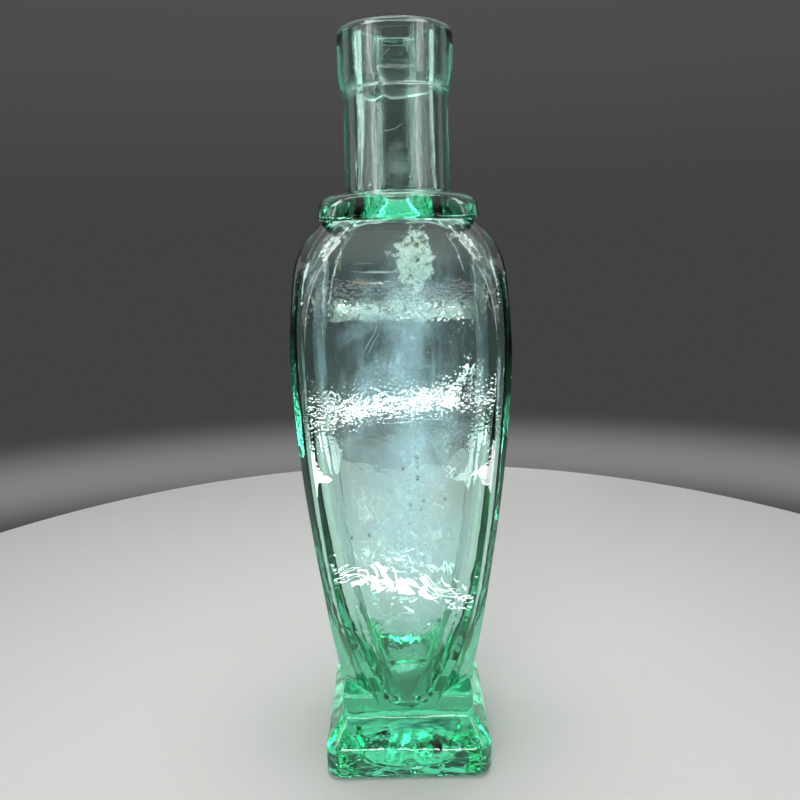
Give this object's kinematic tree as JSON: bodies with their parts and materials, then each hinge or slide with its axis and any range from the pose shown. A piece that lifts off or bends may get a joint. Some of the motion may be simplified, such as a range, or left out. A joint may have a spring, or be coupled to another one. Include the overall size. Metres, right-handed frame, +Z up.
{
  "type": "glass bottle",
  "caption": "Antique mould-blown glass bottle: square urn body with chamfered corners on a pedestal foot, stepped shoulder collar, round neck and a thick applied lip.",
  "frame": {"origin": "middle of the face that the bottle stands on", "axes": "+Z up along the bottle's axis, X and Y square to the flat sides of the body; -Y is the side that the run of glass below the lip faces"},
  "size_m": [0.055, 0.055, 0.201],
  "materials": {
    "vessel_glass": "pale aqua-green mould-blown glass, lightly hammered surface, green where thick",
    "lip_glass": "the same aqua-green glass, fire-polished and tooled, with fine turning marks"
  },
  "bodies": {
    "root": {"bottle_body": "vessel_glass", "applied_lip": "lip_glass"}
  },
  "joints": []
}
